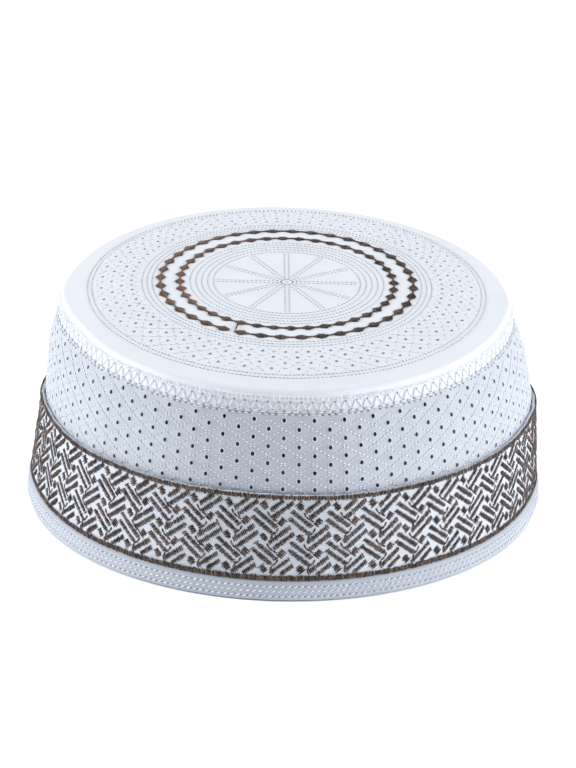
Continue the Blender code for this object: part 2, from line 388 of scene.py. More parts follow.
def threads(name, starts, ends, outs, width, height, material, bow=0.0, tone=None, slot="brown_satin"):
    """Many small threads at once, from starts to ends, standing up along outs."""
    starts, ends, outs = (np.asarray(a, float).reshape(-1, 3) for a in (starts, ends, outs))
    count = len(starts)
    along = ends - starts
    unit = along / np.linalg.norm(along, axis=1, keepdims=True)
    side = np.cross(outs, unit)
    side /= np.linalg.norm(side, axis=1, keepdims=True)
    up = np.cross(unit, side)
    width = np.broadcast_to(width, count)[:, None]
    rows = [starts]
    for share, size in zip(STATIONS, STATION_SIZE):
        centre = starts + along * share + up * bow * math.sin(math.pi * share)
        for corner in range(SIDES):
            angle = 2 * math.pi * corner / SIDES
            beside = side * width / 2 * size * math.cos(angle)
            above = up * height / 2 * size * math.sin(angle)
            rows.append(centre + beside + above)
    rows.append(ends)
    per = len(rows)
    points = np.stack(rows, axis=1).reshape(-1, 3)
    pattern = []
    for corner in range(SIDES):
        beside = (corner + 1) % SIDES
        pattern.append((0, 1 + beside, 1 + corner))
        for ring in range(len(STATIONS) - 1):
            a = 1 + ring * SIDES
            pattern.append((a + corner, a + beside, a + SIDES + beside, a + SIDES + corner))
        last = 1 + (len(STATIONS) - 1) * SIDES
        pattern.append((last + corner, last + beside, per - 1))
    faces = []
    for index in range(count):
        offset = index * per
        faces += [tuple(offset + corner for corner in face) for face in pattern]
    shade = rng.random(count) if tone is None else np.broadcast_to(tone, count)
    made = piece(name, points, faces, material, np.clip(shade[:, None] * PAINTED_SHADE_AND_HIGHLIGHT_ALONG, 0, 1).ravel())
    return made


# %% [markdown]
# ## The upper wall
# The wall is made of diamond cells, each with one eyelet in its middle. The eyelets are real holes,
# because the dark inside of the cap shows through them. So the cloth is built cell by cell: a diamond
# outline, then rings of points that close in to the round hole. The quilting makes each cell puff up a
# little between its stitch lines.

# %% Upper wall cloth
WALL_COLUMNS = 49
EYELET_ROWS = 9
FIRST_ROW = 0.048
ROW_STEP = 0.0922
EYELET_RADIUS = 1.25 * MM
EYELET_STRETCH = 1.22
SIDE_CUTS = 4
WALL_CLOTH = 1.1 * MM
CELL_RINGS = ((1.0, 0.0, -0.14), (0.55, 0.45, 0.14), (0.0, 1.0, 0.05), (0.0, 0.72, 0.10), (0.0, 0.5, -0.25))
half_turn = 0.5 / WALL_COLUMNS
wall_reach = 2 * math.pi * float(ring_value(crown_edge, 0.0)) * 1.05
half_cell = wall_reach * half_turn
wall_rise = float(ring_value(seam_height, 0.0)) - band_high
row_reach = wall_rise * ROW_STEP


def diamond_outline():
    """Corners and cuts of a diamond cell, as shares of its half width and half height."""
    corners = [(1, 0), (0, 1), (-1, 0), (0, -1)]
    outline = []
    for index, (x, y) in enumerate(corners):
        following = corners[(index + 1) % 4]
        for cut in range(SIDE_CUTS):
            share = cut / SIDE_CUTS
            outline.append((x + (following[0] - x) * share, y + (following[1] - y) * share))
    return np.array(outline)


outline = diamond_outline()
outline_angle = np.arctan2(outline[:, 1] * row_reach, outline[:, 0] * half_cell)
cuts = len(outline)
cell_rows = []
for diamond_part, circle_part, proud in CELL_RINGS:
    radius = EYELET_RADIUS * circle_part
    turn = outline[:, 0] * half_turn * diamond_part
    share = outline[:, 1] * ROW_STEP * diamond_part
    turn = turn + np.cos(outline_angle) * radius / wall_reach
    share = share + np.sin(outline_angle) * radius * EYELET_STRETCH / wall_rise
    cell_rows.append((turn, share, np.full(cuts, proud * MM)))
centres = [((column + 0.5 * (row % 2)) / WALL_COLUMNS, FIRST_ROW + ROW_STEP * row)
           for row in range(EYELET_ROWS) for column in range(WALL_COLUMNS)]
wall_turn, wall_share, wall_proud, wall_faces = [], [], [], []
for turn0, share0 in centres:
    first = len(wall_turn) * cuts
    for ring, (turn, share, proud) in enumerate(cell_rows):
        wall_turn.append(turn + turn0)
        wall_share.append(share + share0)
        wall_proud.append(proud)
        if ring == len(cell_rows) - 1:
            continue
        for cut in range(cuts):
            a = first + ring * cuts + cut
            b = first + ring * cuts + (cut + 1) % cuts
            wall_faces.append((a, b, b + cuts, a + cuts))
wall_turn, wall_share = np.concatenate(wall_turn), np.concatenate(wall_share)
wall_points = upper_wall(wall_turn, wall_share, np.concatenate(wall_proud))
wall_points = wall_points.tolist()

# %% [markdown]
# The zigzag of half diamonds below the first row and above the last one is filled with plain triangles,
# and a plain strip carries the cloth on down behind the band. Points that fall on the same place are then
# joined, so that the shading runs on.

# %% Fill the edges of the upper wall
STRIP_ROWS = 8
SEAM_FLARE = 0.6 * MM
FLARE_CURVE = 8
bottom_share = FIRST_ROW - ROW_STEP
top_share = FIRST_ROW + ROW_STEP * EYELET_ROWS
groove = CELL_RINGS[0][2] * MM


def edge_triangle(turn0, base, tip):
    """One plain half diamond with its base on the edge line."""
    side = 1.0 if tip > base else -1.0
    corners = np.array([(-side, base), (side, base), (0.0, tip)])
    ring = []
    for index in range(3):
        start, end = corners[index], corners[(index + 1) % 3]
        steps = 2 * SIDE_CUTS if index == 0 else SIDE_CUTS
        ring += [start + (end - start) * cut / steps for cut in range(steps)]
    ring = np.array(ring)
    middle = corners.mean(axis=0)
    turn = np.append(ring[:, 0], middle[0]) * half_turn + turn0
    points = upper_wall(turn, np.append(ring[:, 1], middle[1]), groove)
    first = len(wall_points)
    wall_points.extend(points.tolist())
    count = len(ring)
    wall_faces.extend((first + k, first + (k + 1) % count, first + count) for k in range(count))


for column in range(WALL_COLUMNS):
    edge_triangle((column + 0.5) / WALL_COLUMNS, bottom_share, FIRST_ROW)
    last_shift = 0.5 * ((EYELET_ROWS - 1) % 2) + 0.5
    edge_triangle((column + last_shift) / WALL_COLUMNS, top_share, top_share - ROW_STEP)


def wall_strip(place, low, high, rows, low_proud, high_proud, curve=1):
    """Plain cloth strip round the cap between two shares of the height."""
    columns = WALL_COLUMNS * 2 * SIDE_CUTS
    turn = np.repeat(np.arange(columns) / columns, rows + 1)
    part = np.tile(np.linspace(0, 1, rows + 1), columns)
    first = len(wall_points)
    points = place(turn, low + (high - low) * part, low_proud + (high_proud - low_proud) * part ** curve)
    wall_points.extend(points.tolist())
    wall_faces.extend(ring_faces(columns, rows, first))


wall_strip(lower_wall, 0.0, 1.0, STRIP_ROWS, 0.0, groove)
wall_cloth = piece("wall_cloth", wall_points, wall_faces, wall_cotton)
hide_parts("side_wall")
weld = wall_cloth.modifiers.new("join", "WELD")
weld.merge_threshold = 0.02 * MM
thicken(wall_cloth, WALL_CLOTH)

# %% [markdown]
# The strip under the crown seam is a piece of its own, painted as light as the crown with the crown's
# painted-lit cotton. Its top edge flares out to meet the crown's roll.

# %% Strip under the seam
wall_points, wall_faces = [], []
wall_strip(upper_wall, top_share, 1.0, STRIP_ROWS, groove, SEAM_FLARE, FLARE_CURVE)
# Painted light: this strip takes the crown's lighter copy of the cotton.
seam_strip = piece("seam_strip", wall_points, wall_faces, crown_cotton)
thicken(seam_strip, WALL_CLOTH)

# %% [markdown]
# ## Eyelet rims
# Each eyelet is bound with white satin stitch, a fine raised ring about 2 mm across and a little taller
# than wide. One ring is worked out as a small torus with a scalloped edge, and copied to every eyelet in
# the plane of the cloth there.

# %% Eyelet rims
RIM_STEPS = 14
RIM_SIDES = 5
RIM_MIDDLE = 0.82 * MM
RIM_THICK = 0.17 * MM


def rims(name, centre_points, right, up, out, material, stretch=1.0):
    """Satin rims at many centres at once."""
    around_rim = np.repeat(2 * math.pi * np.arange(RIM_STEPS) / RIM_STEPS, RIM_SIDES)
    around_tube = np.tile(2 * math.pi * np.arange(RIM_SIDES) / RIM_SIDES, RIM_STEPS)
    scallop = np.repeat(1.0 + 0.06 * np.cos(math.pi * np.arange(RIM_STEPS)), RIM_SIDES)
    radius = RIM_MIDDLE * scallop + RIM_THICK * np.cos(around_tube)
    lift = RIM_THICK * np.sin(around_tube)
    x = radius * np.cos(around_rim)
    y = radius * stretch * np.sin(around_rim)
    points = (centre_points[:, None, :] + x[None, :, None] * right[:, None, :]
              + y[None, :, None] * up[:, None, :] + lift[None, :, None] * out[:, None, :])
    per = RIM_STEPS * RIM_SIDES
    pattern = []
    for step in range(RIM_STEPS):
        for side in range(RIM_SIDES):
            a = step * RIM_SIDES + side
            b = (step + 1) % RIM_STEPS * RIM_SIDES + side
            c = (step + 1) % RIM_STEPS * RIM_SIDES + (side + 1) % RIM_SIDES
            d = step * RIM_SIDES + (side + 1) % RIM_SIDES
            pattern.append((a, b, c, d))
    faces = [tuple(k * per + corner for corner in face) for k in range(len(centre_points)) for face in pattern]
    tone = np.repeat(0.3 + 0.5 * rng.random(len(centre_points)), per)
    return piece(name, points, faces, material, tone)


def local_frame(place, turn, second, step):
    """Directions to the right, up and out of the cloth at given places."""
    here = place(turn, second)
    right = place(turn + 1e-4, second) - here
    up = place(turn, second + step) - here
    right /= np.linalg.norm(right, axis=-1, keepdims=True)
    up -= right * (right * up).sum(axis=-1, keepdims=True)
    up /= np.linalg.norm(up, axis=-1, keepdims=True)
    return here, right, up, np.cross(right, up)


centre_turn, centre_share = np.array(centres).T
here, right, up, out = local_frame(upper_wall, centre_turn, centre_share, 1e-3)
# The wall's rims take the white floss painted a shade darker, a painted shade of the upright wall.
wall_rims = rims("wall_eyelet_rims", here + out * 0.08 * MM, right, up, out, eyelet_floss_painted_shade, EYELET_STRETCH)

# %% [markdown]
# ## Running stitches of the wall
# Diagonal lines of running stitch cross right above and below every eyelet. A running stitch shows a
# short thread, dips into the cloth, and shows again, so each side of a diamond gets four short threads
# with gaps between them. The lines that fall to the right are stitched with thicker thread.

# %% Wall lattice
STITCHES_A_SIDE = 4
STITCH_SHARE = 0.76
FINE_STITCH = 0.36 * MM
THICK_STITCH = 0.50 * MM


def stitch_line(place, a, b, count, share=STITCH_SHARE, proud=0.0):
    """Starts and ends of stitches along lines from places a to places b."""
    a, b = np.asarray(a, float), np.asarray(b, float)
    starts, ends = [], []
    for step in range(count):
        t0 = (step + (1 - share) / 2) / count
        t1 = (step + (1 + share) / 2) / count
        for t, store in ((t0, starts), (t1, ends)):
            spot = a + (b - a) * t
            store.append(place(spot[:, 0], spot[:, 1], proud))
    return np.concatenate(starts), np.concatenate(ends)


cell = np.array(centres)
below = cell[:WALL_COLUMNS]
cell = cell[:-WALL_COLUMNS]
top_corner = cell + (0.0, ROW_STEP)
rising = stitch_line(upper_wall, cell - (half_turn, 0), top_corner, STITCHES_A_SIDE, proud=-0.02 * MM)
falling = stitch_line(upper_wall, top_corner, cell + (half_turn, 0), STITCHES_A_SIDE, proud=-0.02 * MM)
low_left = stitch_line(upper_wall, below - (half_turn, 0), below - (0, ROW_STEP), STITCHES_A_SIDE)
low_right = stitch_line(upper_wall, below - (0, ROW_STEP), below + (half_turn, 0), STITCHES_A_SIDE)
starts = np.concatenate([falling[0], rising[0], low_left[0], low_right[0]])
ends = np.concatenate([falling[1], rising[1], low_left[1], low_right[1]])
widths = np.full(len(starts), FINE_STITCH)
widths[:len(falling[0])] = THICK_STITCH
threads("wall_running_stitches", starts, ends, outward_of(starts), widths, 0.38 * MM, white_floss,
        bow=0.16 * MM, slot="wall_cotton")

# %% [markdown]
# ## Rows under the crown seam
# Above the eyelets come a dotted row, a double line of stitches and a zigzag row that reaches up to the
# seam. All three follow the slanting seam, because their heights are shares of the wall's height. Short
# overcast stitches close the seam itself, and small discs of painted shadow mark the needle holes at the
# points of the zigzag and along the dotted row.

# %% Rows under the seam
DOTTED_SHARE = 0.845
LINE_SHARES = (0.868, 0.882)
ZIGZAG_LOW = 0.885
ZIGZAG_HIGH = 0.985
ZIGZAGS = 128
DOTS = 220
LINE_STITCHES = 180


def around_line(place, second, count, share, proud=0.0):
    """Starts and ends of stitches in one row right round the cap."""
    turn = np.arange(count) / count
    starts = place(turn, np.full(count, second), proud)
    ends = place(turn + share / count, np.full(count, second), proud)
    return starts, ends


rows_made = [around_line(upper_wall, DOTTED_SHARE, DOTS, 0.5)]
rows_made += [around_line(upper_wall, share, LINE_STITCHES, 0.86, 0.08 * MM) for share in LINE_SHARES]
zig_turn = np.arange(ZIGZAGS) / ZIGZAGS
zig_low = np.stack([zig_turn, np.full(ZIGZAGS, ZIGZAG_LOW)], axis=1)
zig_high = zig_low + (0.5 / ZIGZAGS, ZIGZAG_HIGH - ZIGZAG_LOW)
rows_made.append(stitch_line(upper_wall, zig_low, zig_high, 1, 0.86, 0.14 * MM))
rows_made.append(stitch_line(upper_wall, zig_high, zig_low + (1.0 / ZIGZAGS, 0), 1, 0.86, 0.14 * MM))
starts = np.concatenate([r[0] for r in rows_made])
ends = np.concatenate([r[1] for r in rows_made])
threads("seam_rows", starts, ends, outward_of(starts), 0.45 * MM, 0.36 * MM, white_floss, bow=0.08 * MM,
        slot="wall_cotton")


def hole_shadows(name, here, right, up, out, radius, lift=0.05 * MM):
    """Small discs of painted shadow lying on the cloth, where needle holes are."""
    steps = 6
    angle = 2 * math.pi * np.arange(steps) / steps
    x = radius * np.cos(angle)
    y = radius * np.sin(angle)
    base = here + out * lift
    ring = base[:, None, :] + x[None, :, None] * right[:, None, :] + y[None, :, None] * up[:, None, :]
    faces = [tuple(range(k * steps, (k + 1) * steps)) for k in range(len(here))]
    made = piece(name, ring, faces, needle_hole_shadow, np.repeat(rng.random(len(here)), steps), smooth=False)
    return made


OVERCASTS = 300
turn = np.arange(OVERCASTS) / OVERCASTS
lean = rng.normal(0, 0.25, OVERCASTS) / OVERCASTS
starts = upper_wall(turn, 0.965, 0.35 * MM)
ends = upper_wall(turn + lean, 1.0, 0.95 * MM) + (0.0, 0.0, 1.9 * MM)
threads("seam_overcast", starts, ends, outward_of(starts), 0.42 * MM, 0.34 * MM, white_floss, bow=0.1 * MM,
        slot="wall_cotton")

# Small discs of painted shadow mark the needle holes of the zigzag and of the dotted row.
hole_turn = np.concatenate([zig_turn, zig_turn + 0.5 / ZIGZAGS, (np.arange(DOTS) + 0.75) / DOTS])
hole_share = np.concatenate([np.full(ZIGZAGS, ZIGZAG_LOW), np.full(ZIGZAGS, ZIGZAG_HIGH - 0.02),
                             np.full(DOTS, DOTTED_SHARE)])
here, right, up, out = local_frame(upper_wall, hole_turn, hole_share, 1e-3)
hole_shadows("seam_row_hole_shadows", here, right, up, out, 0.32 * MM)

# %% [markdown]
# ## The band's cloth
# Under the brown embroidery lies a second layer of white cloth. Padding under the plaited strands makes
# them stand up a little. The pattern is a basket weave turned on its corner: five rows of short blocks,
# leaning right in one row and left in the next. The same function that says where a block lies raises
# the cloth under it.

# %% Band layout
BLOCKS = 44
BLOCK_ROWS = 5
ROW_TOP = 0.872
BLOCK_STEP = 0.187
BLOCK_HALF_LENGTH = 4.8 * MM
BAR_OFFSET = 1.3 * MM
BAR_WIDTH = 1.95 * MM
LEAN_DEG = 39.0
BORDER_SHARE = 0.062
band_height = band_high - band_low
band_reach = 2 * math.pi * float(np.linalg.norm(band_skin(0.0, 0.5)[:2]))


def block_places():
    """Centre turn, centre share and lean of every block of the weave."""
    for row in range(BLOCK_ROWS):
        lean = 1 if row % 2 == 0 else -1
        for block in range(BLOCKS):
            yield (block + 0.5 * (row % 2)) / BLOCKS, ROW_TOP - BLOCK_STEP * row, lean


def block_relief(turn, share):
    """How much the padding raises the band's cloth at given places."""
    lift = np.zeros_like(turn)
    lean_angle = math.radians(LEAN_DEG)
    for row in range(BLOCK_ROWS):
        lean = 1 if row % 2 == 0 else -1
        column = turn * BLOCKS - 0.5 * (row % 2)
        x = (column - np.round(column)) / BLOCKS * band_reach
        y = (share - ROW_TOP + BLOCK_STEP * row) * band_height
        along = x * math.cos(lean_angle) + y * lean * math.sin(lean_angle)
        across = -x * lean * math.sin(lean_angle) + y * math.cos(lean_angle)
        body = np.clip(1.25 - np.abs(along) / (BLOCK_HALF_LENGTH * 1.1), 0, 0.25) * 4
        body = body * np.clip(1.3 - np.abs(across) / (2.9 * MM), 0, 0.3) / 0.3
        lift = np.maximum(lift, body)
    return lift


BAND_COLUMNS = 528
BAND_ROWS = 34
turn = np.repeat(np.arange(BAND_COLUMNS) / BAND_COLUMNS, BAND_ROWS + 1)
share = np.tile(np.linspace(0, 1, BAND_ROWS + 1), BAND_COLUMNS)
band_points = band_skin(turn, share, 0.22 * MM * block_relief(turn, share) - 0.05 * MM)
band_cloth = piece("band_cloth", band_points, ring_faces(BAND_COLUMNS, BAND_ROWS), painted_shade_band_cotton)
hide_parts("embroidered_band")
thicken(band_cloth, 0.9 * MM)

# %% [markdown]
# ## Plaited bars in satin stitch
# Each block has two bars of brown satin stitch with a white gap between them. Satin stitch is many
# threads laid side by side across the bar, over a flat line of padding, so each thread is its own small
# mesh, with a little chance
# in its length and place, as a machine leaves it. Bars that would run into the borders are cut short.

# %% Plaited bars
THREAD_PITCH = 0.72 * MM
PADDING_WIDTH = 1.3 * MM
THREAD_SLANT_DEG = 14.0
ROW_LIMITS = (0.055, 0.945)


def satin_threads(turn0, share0, along_angle, half_length, across, width, slant_deg=0.0):
    """Start and end places of the threads of one satin bar."""
    count = max(2, int(round(2 * half_length / THREAD_PITCH)))
    s = (np.arange(count) + 0.5) / count * 2 * half_length - half_length
    s = s + rng.normal(0, 0.04 * MM, count)
    direction = np.array([math.cos(along_angle), math.sin(along_angle)])
    normal = np.array([-direction[1], direction[0]])
    slant = math.radians(slant_deg)
    cross = normal * math.cos(slant) + direction * math.sin(slant)
    centre = s[:, None] * direction + across * normal
    half = width / 2 * (1 + rng.normal(0, 0.16, count))[:, None]
    low, high = centre - cross * half, centre + cross * half
    scale = np.array([1 / band_reach, 1 / band_height])
    base = np.array([turn0, share0])
    return base + low * scale, base + high * scale


def inside_band(low, high):
    """Keep the threads whose middle lies between the borders."""
    middle = (low[:, 1] + high[:, 1]) / 2
    keep = (middle > ROW_LIMITS[0]) & (middle < ROW_LIMITS[1])
    return low[keep], high[keep]


def padding_line(turn0, share0, along_angle, half_length, across):
    """Middle line of one bar, cut short at the borders."""
    direction = np.array([math.cos(along_angle), math.sin(along_angle)])
    normal = np.array([-direction[1], direction[0]])
    scale = np.array([1 / band_reach, 1 / band_height])
    ends = np.array([-half_length, half_length])[:, None] * direction + across * normal
    ends = np.array([turn0, share0]) + ends * scale
    slope = (ends[1, 0] - ends[0, 0]) / (ends[1, 1] - ends[0, 1])
    cut = np.clip(ends[:, 1], *ROW_LIMITS)
    ends[:, 0] += (cut - ends[:, 1]) * slope
    ends[:, 1] = cut
    return ends[:1], ends[1:]


bars = {1: [], -1: []}
padding = []
for turn0, share0, lean in block_places():
    angle = math.radians(LEAN_DEG) * lean
    for across in (-BAR_OFFSET, BAR_OFFSET):
        slide = rng.normal(0, 0.25 * MM) + (0.45 * MM if across > 0 else -0.45 * MM) * lean
        start = turn0 + slide * math.cos(angle) / band_reach
        lift = share0 + slide * math.sin(angle) / band_height
        reach = BLOCK_HALF_LENGTH + rng.normal(0, 0.2 * MM)
        padding.append(padding_line(start, lift, angle, reach, across))
        bars[lean].append(inside_band(*satin_threads(start, lift, angle, reach, across, BAR_WIDTH,
                                                     THREAD_SLANT_DEG)))


def lay_threads(name, places, place, proud, width, bow, slot="band_embroidery", **options):
    """Make brown threads between pairs of places on a skin."""
    low = np.concatenate([p[0] for p in places])
    high = np.concatenate([p[1] for p in places])
    starts = place(low[:, 0], low[:, 1], proud)
    ends = place(high[:, 0], high[:, 1], proud)
    count = len(starts)
    tone = rng.beta(0.7, 1.5, count)
    return threads(name, starts, ends, outward_of(starts), width, 0.34 * MM, brown_floss, bow=bow, tone=tone,
                   slot=slot, **options)


lay_threads("bar_padding", padding, band_skin, 0.12 * MM, PADDING_WIDTH, 0.0)
lay_threads("bars_leaning_right", bars[1], band_skin, 0.22 * MM, 0.56 * MM, 0.28 * MM)
lay_threads("bars_leaning_left", bars[-1], band_skin, 0.22 * MM, 0.56 * MM, 0.28 * MM)

# %% [markdown]
# Small patches of satin stitch fill the holes of the weave, midway between the blocks of each row.

# %% Patches in the holes of the weave
PATCH_HALF_LENGTH = 1.6 * MM
PATCH_WIDTH = 3.0 * MM
PATCH_PADDING_WIDTH = 1.9 * MM
patches = []
patch_padding = []
for turn0, share0, lean in block_places():
    angle = math.radians(LEAN_DEG) * lean + math.pi / 2
    middle = turn0 + 0.5 / BLOCKS
    across = rng.normal(0, 0.1 * MM)
    made = satin_threads(middle, share0, angle, PATCH_HALF_LENGTH, across, PATCH_WIDTH)
    patches.append(inside_band(*made))
    patch_padding.append(padding_line(middle, share0, angle, PATCH_HALF_LENGTH * 0.85, across))
lay_threads("patch_padding", patch_padding, band_skin, 0.06 * MM, PATCH_PADDING_WIDTH, 0.0)
lay_threads("weave_patches", patches, band_skin, 0.05 * MM, 0.56 * MM, 0.22 * MM)

# %% [markdown]
# Where the needle moves on to the next bar, a single dark thread joins the bars' ends. It shows as a
# thin bow round the end of each block.

# %% Joining threads
joins = []
for turn0, share0, lean in block_places():
    angle = math.radians(LEAN_DEG) * lean
    direction = np.array([math.cos(angle), math.sin(angle)])
    normal = np.array([-direction[1], direction[0]])
    end = -direction * (BLOCK_HALF_LENGTH + 0.5 * MM) * (1 if lean > 0 else -1)
    path = [end + normal * BAR_OFFSET * 1.3, end * 1.08, end - normal * BAR_OFFSET * 1.3]
    path.append(path[-1] + (normal * -1.6 - direction * -0.6) * MM)
    scale = np.array([1 / band_reach, 1 / band_height])
    spots = [np.array([turn0, share0]) + p * scale for p in path]
    for a, b in zip(spots, spots[1:]):
        joins.append(inside_band(a[None], b[None]))
lay_threads("joining_threads", joins, band_skin, 0.28 * MM, 0.66 * MM, 0.05 * MM)

# %% [markdown]
# ## Satin borders
# The band is edged above and below with a narrow border of satin stitch. Its threads stand upright and
# their ends are uneven, which gives the border a slightly spiky edge.

# %% Borders
BORDER_THREADS = 1180
BORDER_INSET = BORDER_SHARE * 0.32


def border(name, node, middle):
    """Upright threads round the band at one height share."""
    turn = (np.arange(BORDER_THREADS) + rng.normal(0, 0.12, BORDER_THREADS)) / BORDER_THREADS
    half = BORDER_SHARE / 2 * 1.02
    low = middle - half * (1 + rng.normal(0, 0.20, BORDER_THREADS))
    high = middle + half * (1 + rng.normal(0, 0.20, BORDER_THREADS))
    lean = rng.normal(0, 0.25, BORDER_THREADS) / BORDER_THREADS
    places = [(np.stack([turn, low], 1), np.stack([turn + lean, high], 1))]
    made = lay_threads(name, places, band_skin, 0.35 * MM, 0.56 * MM, 0.30 * MM, slot="brown_satin")
    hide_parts(node)
    return made


border("top_border_threads", "band_border_top", 1 - BORDER_INSET)
border("bottom_border_threads", "band_border_bottom", BORDER_INSET)

# %% [markdown]
# ## The hem
# The hem is a strip of cloth folded round the bottom edge and stitched through with three rows of white
# stitches. Its section is a closed outline, swept round the cap, that swells a little between the rows.

# %% Hem
HEM_COLUMNS = 432
HEM_STITCH_HEIGHTS = (1.9 * MM, 3.7 * MM, 5.5 * MM)
HEM_FOLD = 4.6 * MM
hem_outline = [(-1.0, 0.0), (-0.35, 0.0), (0.0, 0.7)]
hem_outline += [(0.12, 1.2), (-0.10, 1.9), (0.10, 2.8), (-0.10, 3.7), (0.10, 4.6), (-0.10, 5.5), (0.08, 6.4)]
hem_outline += [(-0.05, 7.1), (-0.7, 7.4), (-1.5, 7.4), (-1.5, 6.0), (-4.6, 6.0), (-4.6, 0.6), (-3.9, 0.0)]
hem_points = []
hem_rows = len(hem_outline)
for column in range(HEM_COLUMNS):
    for proud, height in hem_outline:
        hem_points.append((column / HEM_COLUMNS, height * MM / hem_high, proud * MM))
hem_points = np.array(hem_points)
hem_xyz = hem_skin(hem_points[:, 0], hem_points[:, 1], hem_points[:, 2])
hem_faces = []
for column in range(HEM_COLUMNS):
    after = (column + 1) % HEM_COLUMNS
    for row in range(hem_rows):
        below = (row + 1) % hem_rows
        a, b = column * hem_rows, after * hem_rows
        hem_faces.append((a + row, b + row, b + below, a + below))
hem_cloth = piece("hem_cloth", hem_xyz, hem_faces, hem_cotton)
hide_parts("hem_binding")

# %% Hem stitches
HEM_STITCHES = 260
hem_rows_made = []
for index, height in enumerate(HEM_STITCH_HEIGHTS):
    shift = 0.5 * (index % 2) / HEM_STITCHES
    row_turn = np.arange(HEM_STITCHES) / HEM_STITCHES + shift
    share = np.full(HEM_STITCHES, height / hem_high)
    lift = 0.35 * MM / hem_high
    hem_rows_made.append((hem_skin(row_turn, share - lift, -0.05 * MM),
                          hem_skin(row_turn + 0.62 / HEM_STITCHES, share + lift, -0.05 * MM)))
starts = np.concatenate([r[0] for r in hem_rows_made])
ends = np.concatenate([r[1] for r in hem_rows_made])
threads("hem_stitches", starts, ends, outward_of(starts), 0.56 * MM, 0.46 * MM, white_floss, bow=0.18 * MM,
        slot="hem_cotton")
# Each needle hole of the hem is a small disc of painted shadow.
hem_hole_turn = np.tile((np.arange(HEM_STITCHES) + 0.81) / HEM_STITCHES, 3)
hem_hole_share = np.repeat(HEM_STITCH_HEIGHTS, HEM_STITCHES) / hem_high
here, right, up, out = local_frame(hem_skin, hem_hole_turn, hem_hole_share, 1e-3)
hole_shadows("hem_needle_hole_shadows", here, right, up, out, 0.28 * MM, lift=-0.03 * MM)

# %% [markdown]
# ## The crown
# The crown is one round panel. Its cloth is a fine polar grid with shallow grooves under the stitch
# rings and soft puffs between them, because a running stitch pulls the cloth down. At the edge it rolls
# over to the seam, and the underside closes the panel.

# %% Crown cloth
RING_RADII_MM = (26.5, 28.6, 30.7, 32.8, 34.9, 48.6, 50.4, 52.2, 70.2, 71.8)
GROOVE_MM = 0.16
CROWN_COLUMNS = 288
CROWN_CIRCLES = 112
PANEL_THICKNESS = 1.6 * MM
ROLL_ANGLES_DEG = (75, 50, 25, 0, -25, -50)


def crown_relief(radius):
    """Height of the crown's puffs and grooves at a distance from its middle."""
    relief = np.zeros_like(radius)
    for ring_mm in RING_RADII_MM:
        relief -= GROOVE_MM * MM * np.exp(-((radius - ring_mm * MM) / (0.45 * MM)) ** 2)
    return relief


crown_points = []
share = np.linspace(0.004, 1.0, CROWN_CIRCLES + 1)
for column in range(CROWN_COLUMNS):
    turn = column / CROWN_COLUMNS
    edge = float(ring_value(flat_edge, turn))
    radius = share * edge
    top = crown_place(np.full_like(radius, turn), radius, crown_relief(radius))
    angle = 2 * math.pi * turn
    out_x, out_y = math.sin(angle), -math.cos(angle)
    height = top[-1, 2] - EDGE_ROLL
    roll = [((edge + EDGE_ROLL * math.cos(math.radians(d))) * out_x,
             (edge + EDGE_ROLL * math.cos(math.radians(d))) * out_y,
             height + EDGE_ROLL * math.sin(math.radians(d))) for d in ROLL_ANGLES_DEG]
    under_radius = np.append(edge - np.array([1.0, 2.0]) * MM, edge * np.array([0.8, 0.5, 0.2, 0.004]))
    under = crown_place(np.full_like(under_radius, turn), under_radius, -PANEL_THICKNESS)
    crown_points.append(np.concatenate([top, roll, under]))
crown_rows = len(crown_points[0]) - 1
crown_faces = ring_faces(CROWN_COLUMNS, crown_rows)
cap_start = [column * (crown_rows + 1) for column in range(CROWN_COLUMNS)]
crown_faces.append(cap_start)
crown_faces.append([first + crown_rows for first in reversed(cap_start)])
crown_faces = [tuple(reversed(face)) for face in crown_faces]
crown_cloth = piece("crown_cloth", np.array(crown_points), crown_faces, crown_cotton)
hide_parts("crown_panel")

# %% [markdown]
# ## Stitches of the crown
# Rings of running stitch lie inside and outside the brown diamonds, and twelve double lines run out from
# the middle like spokes. Between the outer rings come four rows of eyelets with a lattice of stitches, and
# a small disc of painted shadow marks a needle hole before every stitch.

# %% Crown stitches
CROWN_STITCH = 1.5 * MM
SPOKES = 12
SPOKE_GAP = 0.75 * MM
SPOKE_REACH = (2.5 * MM, 25.0 * MM)
crown_starts, crown_ends = [], []
for ring_mm in RING_RADII_MM:
    radius = ring_mm * MM
    count = int(round(2 * math.pi * radius / CROWN_STITCH))
    turn = (np.arange(count) + rng.random()) / count
    crown_starts.append(crown_place(turn, radius, -0.08 * MM))
    crown_ends.append(crown_place(turn + 0.56 / count, radius, -0.08 * MM))
for spoke in range(SPOKES):
    for side in (-1, 1):
        radius = np.arange(SPOKE_REACH[0], SPOKE_REACH[1], CROWN_STITCH)
        turn = (spoke + 0.03) / SPOKES + side * SPOKE_GAP / (2 * math.pi * radius)
        crown_starts.append(crown_place(turn, radius))
        turn_end = (spoke + 0.03) / SPOKES + side * SPOKE_GAP / (2 * math.pi * (radius + 0.9 * MM))
        crown_ends.append(crown_place(turn_end, radius + 0.9 * MM))

